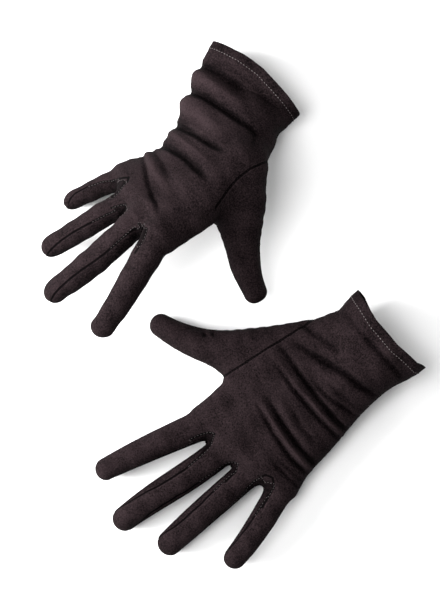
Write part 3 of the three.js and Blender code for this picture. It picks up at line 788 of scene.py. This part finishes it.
def knit(name, dark, pale, seams, roughness):
    """A fine brushed knit: nap in two sizes of speck, a knit relief and, with seams, dark seam lines, a
    painted seam highlight and painted shade from the crease attribute.
    """
    material = bpy.data.materials.new(name)
    material.use_nodes = True
    tree = material.node_tree
    shader = tree.nodes["Principled BSDF"]
    place = Value(tree, add_node(tree, "ShaderNodeTexCoord", {}, {}).outputs["Object"])
    nap = add_node(
        tree, "ShaderNodeTexNoise", {},
        {"Vector": place, "Scale": 520.0, "Detail": 4.0, "Roughness": 0.7},
    )
    speck = add_node(
        tree, "ShaderNodeTexNoise", {},
        {"Vector": place, "Scale": 1150.0, "Detail": 3.0, "Roughness": 0.75},
    )
    loops = add_node(tree, "ShaderNodeTexVoronoi", {}, {"Vector": place, "Scale": 1500.0})
    nap, speck, loops = (Value(tree, n.outputs[0]) for n in (nap, speck, loops))
    shade = (nap - 0.5) * 0.3 + (speck - 0.5) * 2.9 + 0.41
    if seams:
        line = add_node(tree, "ShaderNodeAttribute", {"attribute_name": "seam"}, {})
        gap = Value(tree, line.outputs["Fac"])
        dark_line = (gap * -1.9 + 1.75).held(0, 1)
        # A paler band beside each dark seam line: a painted highlight along the seam's edge.
        painted_seam_highlight = (gap * -1.2 + 1.9).held(0, 1) - dark_line
        # Painted shade and highlight from the crease attribute: darker in fold valleys, on the sides turned
        # away from the top and on the fourchettes near the crotches, lighter on fold ridges; it also darkens
        # the hem band.
        painted_shade_attribute = add_node(tree, "ShaderNodeAttribute", {"attribute_name": "crease"}, {})
        painted_shade_amount = (Value(tree, painted_shade_attribute.outputs["Fac"]) * 0.2).held(-0.42, 0.35)
        shade = shade + painted_shade_amount + painted_seam_highlight * 0.18 - dark_line * 0.95
    mix = add_node(
        tree, "ShaderNodeMix", {"data_type": "RGBA"},
        {0: shade.held(0, 1), 6: (*dark, 1), 7: (*pale, 1)},
    )
    tree.links.new(mix.outputs[2], shader.inputs["Base Color"])
    relief = speck * 0.7 + loops * 0.5 + nap * 0.4
    bump = add_node(tree, "ShaderNodeBump", {}, {"Height": relief, "Strength": 0.5, "Distance": 0.0006})
    tree.links.new(bump.outputs["Normal"], shader.inputs["Normal"])
    shader.inputs["Roughness"].default_value = roughness
    shader.inputs["Specular IOR Level"].default_value = 0.03
    return material


BLACK_KNIT = knit("black_knit", (0.0006, 0.0002, 0.0003), (0.0215, 0.0142, 0.0157), True, 0.9)
HEM_KNIT = knit("hem_knit", (0.001, 0.0008, 0.0011), (0.013, 0.0098, 0.0122), False, 0.85)
THREAD = knit("grey_thread", (0.055, 0.047, 0.047), (0.18, 0.16, 0.16), False, 0.7)
SEAM_THREAD = knit("seam_thread", (0.03, 0.025, 0.025), (0.11, 0.097, 0.099), False, 0.7)
DARK_THREAD = knit("dark_thread", (0.001, 0.0008, 0.0008), (0.012, 0.009, 0.0095), False, 0.7)
THICKNESS = 0.8


def shell(name, points, triangles, normals, seams, painted_shade_values, material, thickness=THICKNESS):
    """A closed piece of cloth: its face, its inner side, and the cut edge between them."""
    used, faces = np.unique(triangles, return_inverse=True)
    faces = faces.reshape(-1, 3)
    count = len(used)
    face_points, face_normals = points[used], normals[used]
    directed = faces[:, [0, 1, 1, 2, 2, 0]].reshape(-1, 2)
    key = directed[:, 0] * count + directed[:, 1]
    rim = directed[~np.isin(key, directed[:, 1] * count + directed[:, 0])]
    walls = np.concatenate([
        np.stack([rim[:, 1], rim[:, 0], rim[:, 0] + count], 1),
        np.stack([rim[:, 1], rim[:, 0] + count, rim[:, 1] + count], 1),
    ])
    inner = face_points - thickness * face_normals
    every = (np.concatenate([face_points, inner]) + SHIFT) / 1000
    mesh = bpy.data.meshes.new(name)
    mesh.from_pydata(every.tolist(), [], np.concatenate([faces, faces[:, ::-1] + count, walls]).tolist())
    mesh.polygons.foreach_set("use_smooth", np.ones(len(mesh.polygons), bool))
    # The crease attribute carries the painted shade and highlight of folds, sides and fourchettes, and the
    # darker hem band.
    for label, value in (("seam", seams), ("crease", painted_shade_values)):
        stored = mesh.attributes.new(label, "FLOAT", "POINT")
        stored.data.foreach_set("value", np.concatenate([value[used], value[used]]).astype(np.float32))
    mesh.normals_split_custom_set_from_vertices(np.concatenate([face_normals, -face_normals]).tolist())
    mesh.materials.append(material)
    piece = bpy.data.objects.new(name, mesh)
    bpy.context.scene.collection.objects.link(piece)
    return piece


def border(triangles, inside):
    """Edges between the triangles that are inside a set and those that aren't."""
    pairs = np.sort(triangles[:, [0, 1, 1, 2, 2, 0]].reshape(-1, 2), axis=1)
    flags = np.repeat(inside, 3)
    most = pairs.max() + 1
    keys, which = np.unique(pairs[:, 0] * most + pairs[:, 1], return_inverse=True)
    within = np.bincount(which.ravel(), flags, len(keys))
    uses = np.bincount(which.ravel(), minlength=len(keys))
    crossed = keys[(within == 1) & (uses == 2)]
    return np.stack([crossed // most, crossed % most], 1)


# ---- Stitches --------------------------------------------------------------------------------------------
# Thread shows as short separate stitches: a row round the hem, some at the thumb seam and round the
# crotches. Each stitch is a small rounded length of thread that lies along the seam.
stitching = bpy.data.node_groups.new("stitching", "GeometryNodeTree")
stitching.interface.new_socket("Row", in_out="INPUT", socket_type="NodeSocketGeometry")
pitch_in = stitching.interface.new_socket("Pitch", in_out="INPUT", socket_type="NodeSocketFloat")
length_in = stitching.interface.new_socket("Stitch length", in_out="INPUT", socket_type="NodeSocketFloat")
thread_in = stitching.interface.new_socket("Thread radius", in_out="INPUT", socket_type="NodeSocketFloat")
finish_in = stitching.interface.new_socket("Thread", in_out="INPUT", socket_type="NodeSocketMaterial")
stitching.interface.new_socket("Stitches", in_out="OUTPUT", socket_type="NodeSocketGeometry")


def geometry_node(kind, settings, links):
    node = stitching.nodes.new(kind)
    for key, value in settings.items():
        setattr(node, key, value)
    for key, value in links.items():
        if isinstance(value, bpy.types.NodeSocket):
            stitching.links.new(value, node.inputs[key])
        else:
            node.inputs[key].default_value = value
    return node


given = stitching.nodes.new("NodeGroupInput").outputs
line = geometry_node("GeometryNodeMeshToCurve", {}, {"Mesh": given["Row"]})
spaced = geometry_node(
    "GeometryNodeResampleCurve", {"mode": "LENGTH"}, {"Curve": line.outputs[0], "Length": given["Pitch"]}
)
bead = geometry_node("GeometryNodeMeshUVSphere", {}, {"Segments": 8, "Rings": 6, "Radius": 1.0})
shape = geometry_node(
    "ShaderNodeCombineXYZ", {},
    {"X": given["Thread radius"], "Y": given["Thread radius"], "Z": given["Stitch length"]},
)
tangent = geometry_node("GeometryNodeInputTangent", {}, {})
turn = geometry_node("FunctionNodeAlignRotationToVector", {"axis": "Z"}, {"Vector": tangent.outputs[0]})
placed = geometry_node(
    "GeometryNodeInstanceOnPoints", {},
    {"Points": spaced.outputs[0], "Instance": bead.outputs["Mesh"], "Rotation": turn.outputs[0],
     "Scale": shape.outputs[0]},
)
real = geometry_node("GeometryNodeRealizeInstances", {}, {"Geometry": placed.outputs[0]})
painted = geometry_node(
    "GeometryNodeSetMaterial", {}, {"Geometry": real.outputs[0], "Material": given["Thread"]}
)
stitching.links.new(painted.outputs[0], stitching.nodes.new("NodeGroupOutput").inputs[0])


def stitches(name, points, edges, pitch, length, radius, finish):
    """Stitches along a run of mesh edges, as one plain mesh."""
    used, pairs = np.unique(edges, return_inverse=True)
    row = bpy.data.meshes.new(name + "_row")
    row.from_pydata(((points[used] + SHIFT) / 1000).tolist(), pairs.reshape(-1, 2).tolist(), [])
    carrier = bpy.data.objects.new(name + "_row", row)
    bpy.context.scene.collection.objects.link(carrier)
    sewing = carrier.modifiers.new("sewing", "NODES")
    sewing.node_group = stitching
    sewing[pitch_in.identifier] = pitch / 1000
    sewing[length_in.identifier] = length / 2000
    sewing[thread_in.identifier] = radius / 1000
    sewing[finish_in.identifier] = finish
    graph = bpy.context.evaluated_depsgraph_get()
    mesh = bpy.data.meshes.new_from_object(
        carrier.evaluated_get(graph), preserve_all_data_layers=True, depsgraph=graph
    )
    mesh.name = name
    bpy.data.objects.remove(carrier)
    bpy.data.meshes.remove(row)
    if not mesh.materials:
        mesh.materials.append(finish)
    sewn = bpy.data.objects.new(name, mesh)
    bpy.context.scene.collection.objects.link(sewn)
    return sewn


# ---- Both gloves -----------------------------------------------------------------------------------------
# Every cut piece becomes a thin closed shell that stands for its solid. Hand pieces move with the hand;
# finger and thumb pieces only have their placement baked into their meshes and get no bend. CUTS gives each
# piece's flat width and length in millimetres and its area in square millimetres, rounded from the finished
# pieces, because the photo doesn't show the flat cut.
HEM_PLY = 0.75
HEM_INSET = 1.0
SEAM_DIP = 0.45
SEAM_WIDTH = 0.9
TABLE_GAP = 0.05
FINGER_BEND = 24
THUMB_BEND = (28, 30)  # where it begins along the thumb, and how long it is
SEWN_PAST_CROTCH = 18
THREAD_LIFT = 0.12
CUTS = {
    "back_panel": (96, 142, 12000),
    "palm_panel": (96, 142, 11000),
    "thumb_panel": (88, 105, 5800),
    "index_back": (28, 76, 1750),
    "index_palm": (26, 74, 1600),
    "index_fourchette": (13, 72, 700),
    "middle_back": (19, 86, 1380),
    "middle_palm": (19, 86, 1250),
    "middle_fourchette_thumb_side": (16, 84, 1120),
    "middle_fourchette_little_side": (13, 84, 800),
    "ring_back": (19, 80, 1290),
    "ring_palm": (19, 80, 1260),
    "ring_fourchette_thumb_side": (13, 76, 740),
    "ring_fourchette_little_side": (11, 78, 590),
    "little_back": (20, 66, 1100),
    "little_palm": (19, 65, 980),
    "little_fourchette": (13, 58, 550),
}


def bend(piece, glove, finger, path, start, reach):
    """Bakes a piece's placement into its mesh. It finds where a bend from the hand into a digit would begin
    and end, but sets up no bend.
    """
    at = [Vector(((section(path, d)["centre"] + SHIFT) / 1000).tolist()) for d in (start, start + reach)]
    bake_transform(piece)


for glove in (LEFT, RIGHT):
    side = glove["name"]
    tubes, values, triangles, columns = make_cloth(glove)
    labels = name_pieces(glove, values, triangles, columns)
    seams = seam_distance(glove, values, columns)
    points = values[:, :3]
    dip = SEAM_DIP * np.exp(-((seams / SEAM_WIDTH) ** 2))
    points = points - point_normals(points, triangles) * dip[:, None]
    points[:, 2] = np.maximum(points[:, 2], TABLE_GAP)
    normals = point_normals(points, triangles)

    starts = {}
    for i in range(3):
        a, b = FINGERS[i], FINGERS[i + 1]
        mine = np.array([str(s).startswith(a) for s in labels])
        other = np.array([str(s).startswith(b) for s in labels])
        shared = np.intersect1d(triangles[mine], triangles[other])
        for finger in (a, b):
            along = values[shared, columns[finger + "_along"]]
            starts[finger] = max(starts.get(finger, 0.0), along.max() if len(along) else 0.0)

    for label in sorted(set(labels)):
        mine = triangles[labels == label]
        digit_name = label.split("_")[0]
        # Painted shade for the crease attribute: the fold heights (valleys darker, ridges lighter) and a
        # darker band where the cloth turns to the side, away from the top.
        painted_shade_and_hem_tone = values[:, columns["height"]] - 0.7 * np.exp(-((normals[:, 2] / 0.35) ** 2))
        # The hem band below the stitch row of the back and palm panels is made darker.
        if label in ("back_panel", "palm_panel"):
            painted_shade_and_hem_tone = painted_shade_and_hem_tone - 0.55 * (values[:, columns["row"]] < -0.3)
        # Painted shade on the fourchettes, deepest at the crotch and fading along the finger.
        if "fourchette" in label:
            past = values[:, columns[digit_name + "_along"]] - starts[digit_name]
            painted_shade_and_hem_tone = painted_shade_and_hem_tone - 0.5 - 1.7 * np.exp(-np.maximum(past, 0) / 10)
        piece = shell(f"{side}_{label}_cloth", points, mine, normals, seams, painted_shade_and_hem_tone, BLACK_KNIT)
        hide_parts(f"{side}_{label}")
        width, length, area = CUTS[label]
        under = ["table_top"] if label == "palm_panel" else []
        length / 1000
        if digit_name in FINGERS:
            bend(piece, side, digit_name, tubes[digit_name], starts[digit_name], FINGER_BEND)
        elif label == "thumb_panel":
            bend(piece, side, "thumb", tubes["thumb"], *THUMB_BEND)
        else:
            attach(piece, f"{side}_hand")

    # The hem: the cloth turned up once inside the cuff and held by the row of stitches.
    inward = points - HEM_INSET * normals
    sewn_values, sewn_triangles = values.copy(), triangles.copy()
    low = columns["cuff"]
    sewn_values[:, low] -= 0.3
    sewn_values[:, :3] = inward
    near_hem = lambda v: v[:, columns["row"]] < 4
    sewn_values, sewn_triangles = cut(sewn_values, sewn_triangles, "cuff", columns, near_hem, 0.02)
    centres = sewn_values[sewn_triangles].mean(1)
    keep = (centres[:, low] > 0) & (centres[:, columns["row"]] < 0)
    turned_up = sewn_triangles[keep]
    ply_normals = point_normals(sewn_values[:, :3], turned_up)
    ply = shell(f"{side}_cuff_hem_ply", sewn_values[:, :3], turned_up, ply_normals,
                np.full(len(sewn_values), NO_SEAM), np.zeros(len(sewn_values)), HEM_KNIT, HEM_PLY)
    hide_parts(f"{side}_cuff_hem")
    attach(ply, f"{side}_hand")

    raised = points + THREAD_LIFT * normals
    on_back = np.unique(triangles[np.array([str(s).endswith("back") or s == "back_panel" for s in labels])])
    for label in [s for s in sorted(set(labels)) if "fourchette" in s]:
        finger = label.split("_")[0]
        seam = border(triangles, labels == label)
        near_crotch = values[seam, columns[finger + "_along"]].max(1) < starts[finger] + SEWN_PAST_CROTCH
        seam = seam[near_crotch & np.isin(seam, on_back).all(1)]
        sewn = stitches(f"{side}_{label}_stitches", raised, seam, 2.1, 1.1, 0.16, SEAM_THREAD)
        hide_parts(f"{side}_{label}")
        bend(sewn, side, finger, tubes[finger], starts[finger], FINGER_BEND)
    above_hem = values[triangles].mean(1)[:, columns["row"]] > 0
    rows = {
        "hem_topstitch": (above_hem, 2.2, 1.15, 0.24, THREAD),
        "thumb_seam_thread": (labels == "thumb_panel", 2.2, 1.5, 0.16, DARK_THREAD),
    }
    for row_name, (inside, pitch, length, radius, finish) in rows.items():
        row = border(triangles, inside)
        sewn = stitches(f"{side}_{row_name}_stitches", raised, row, pitch, length, radius, finish)
        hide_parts(f"{side}_{row_name}")
        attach(sewn, f"{side}_hand")

# ---- Size ------------------------------------------------------------------------------------------------
# The finished gloves' box; the CAD's box was taken right after the import.
bpy.context.view_layer.update()
low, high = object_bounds()
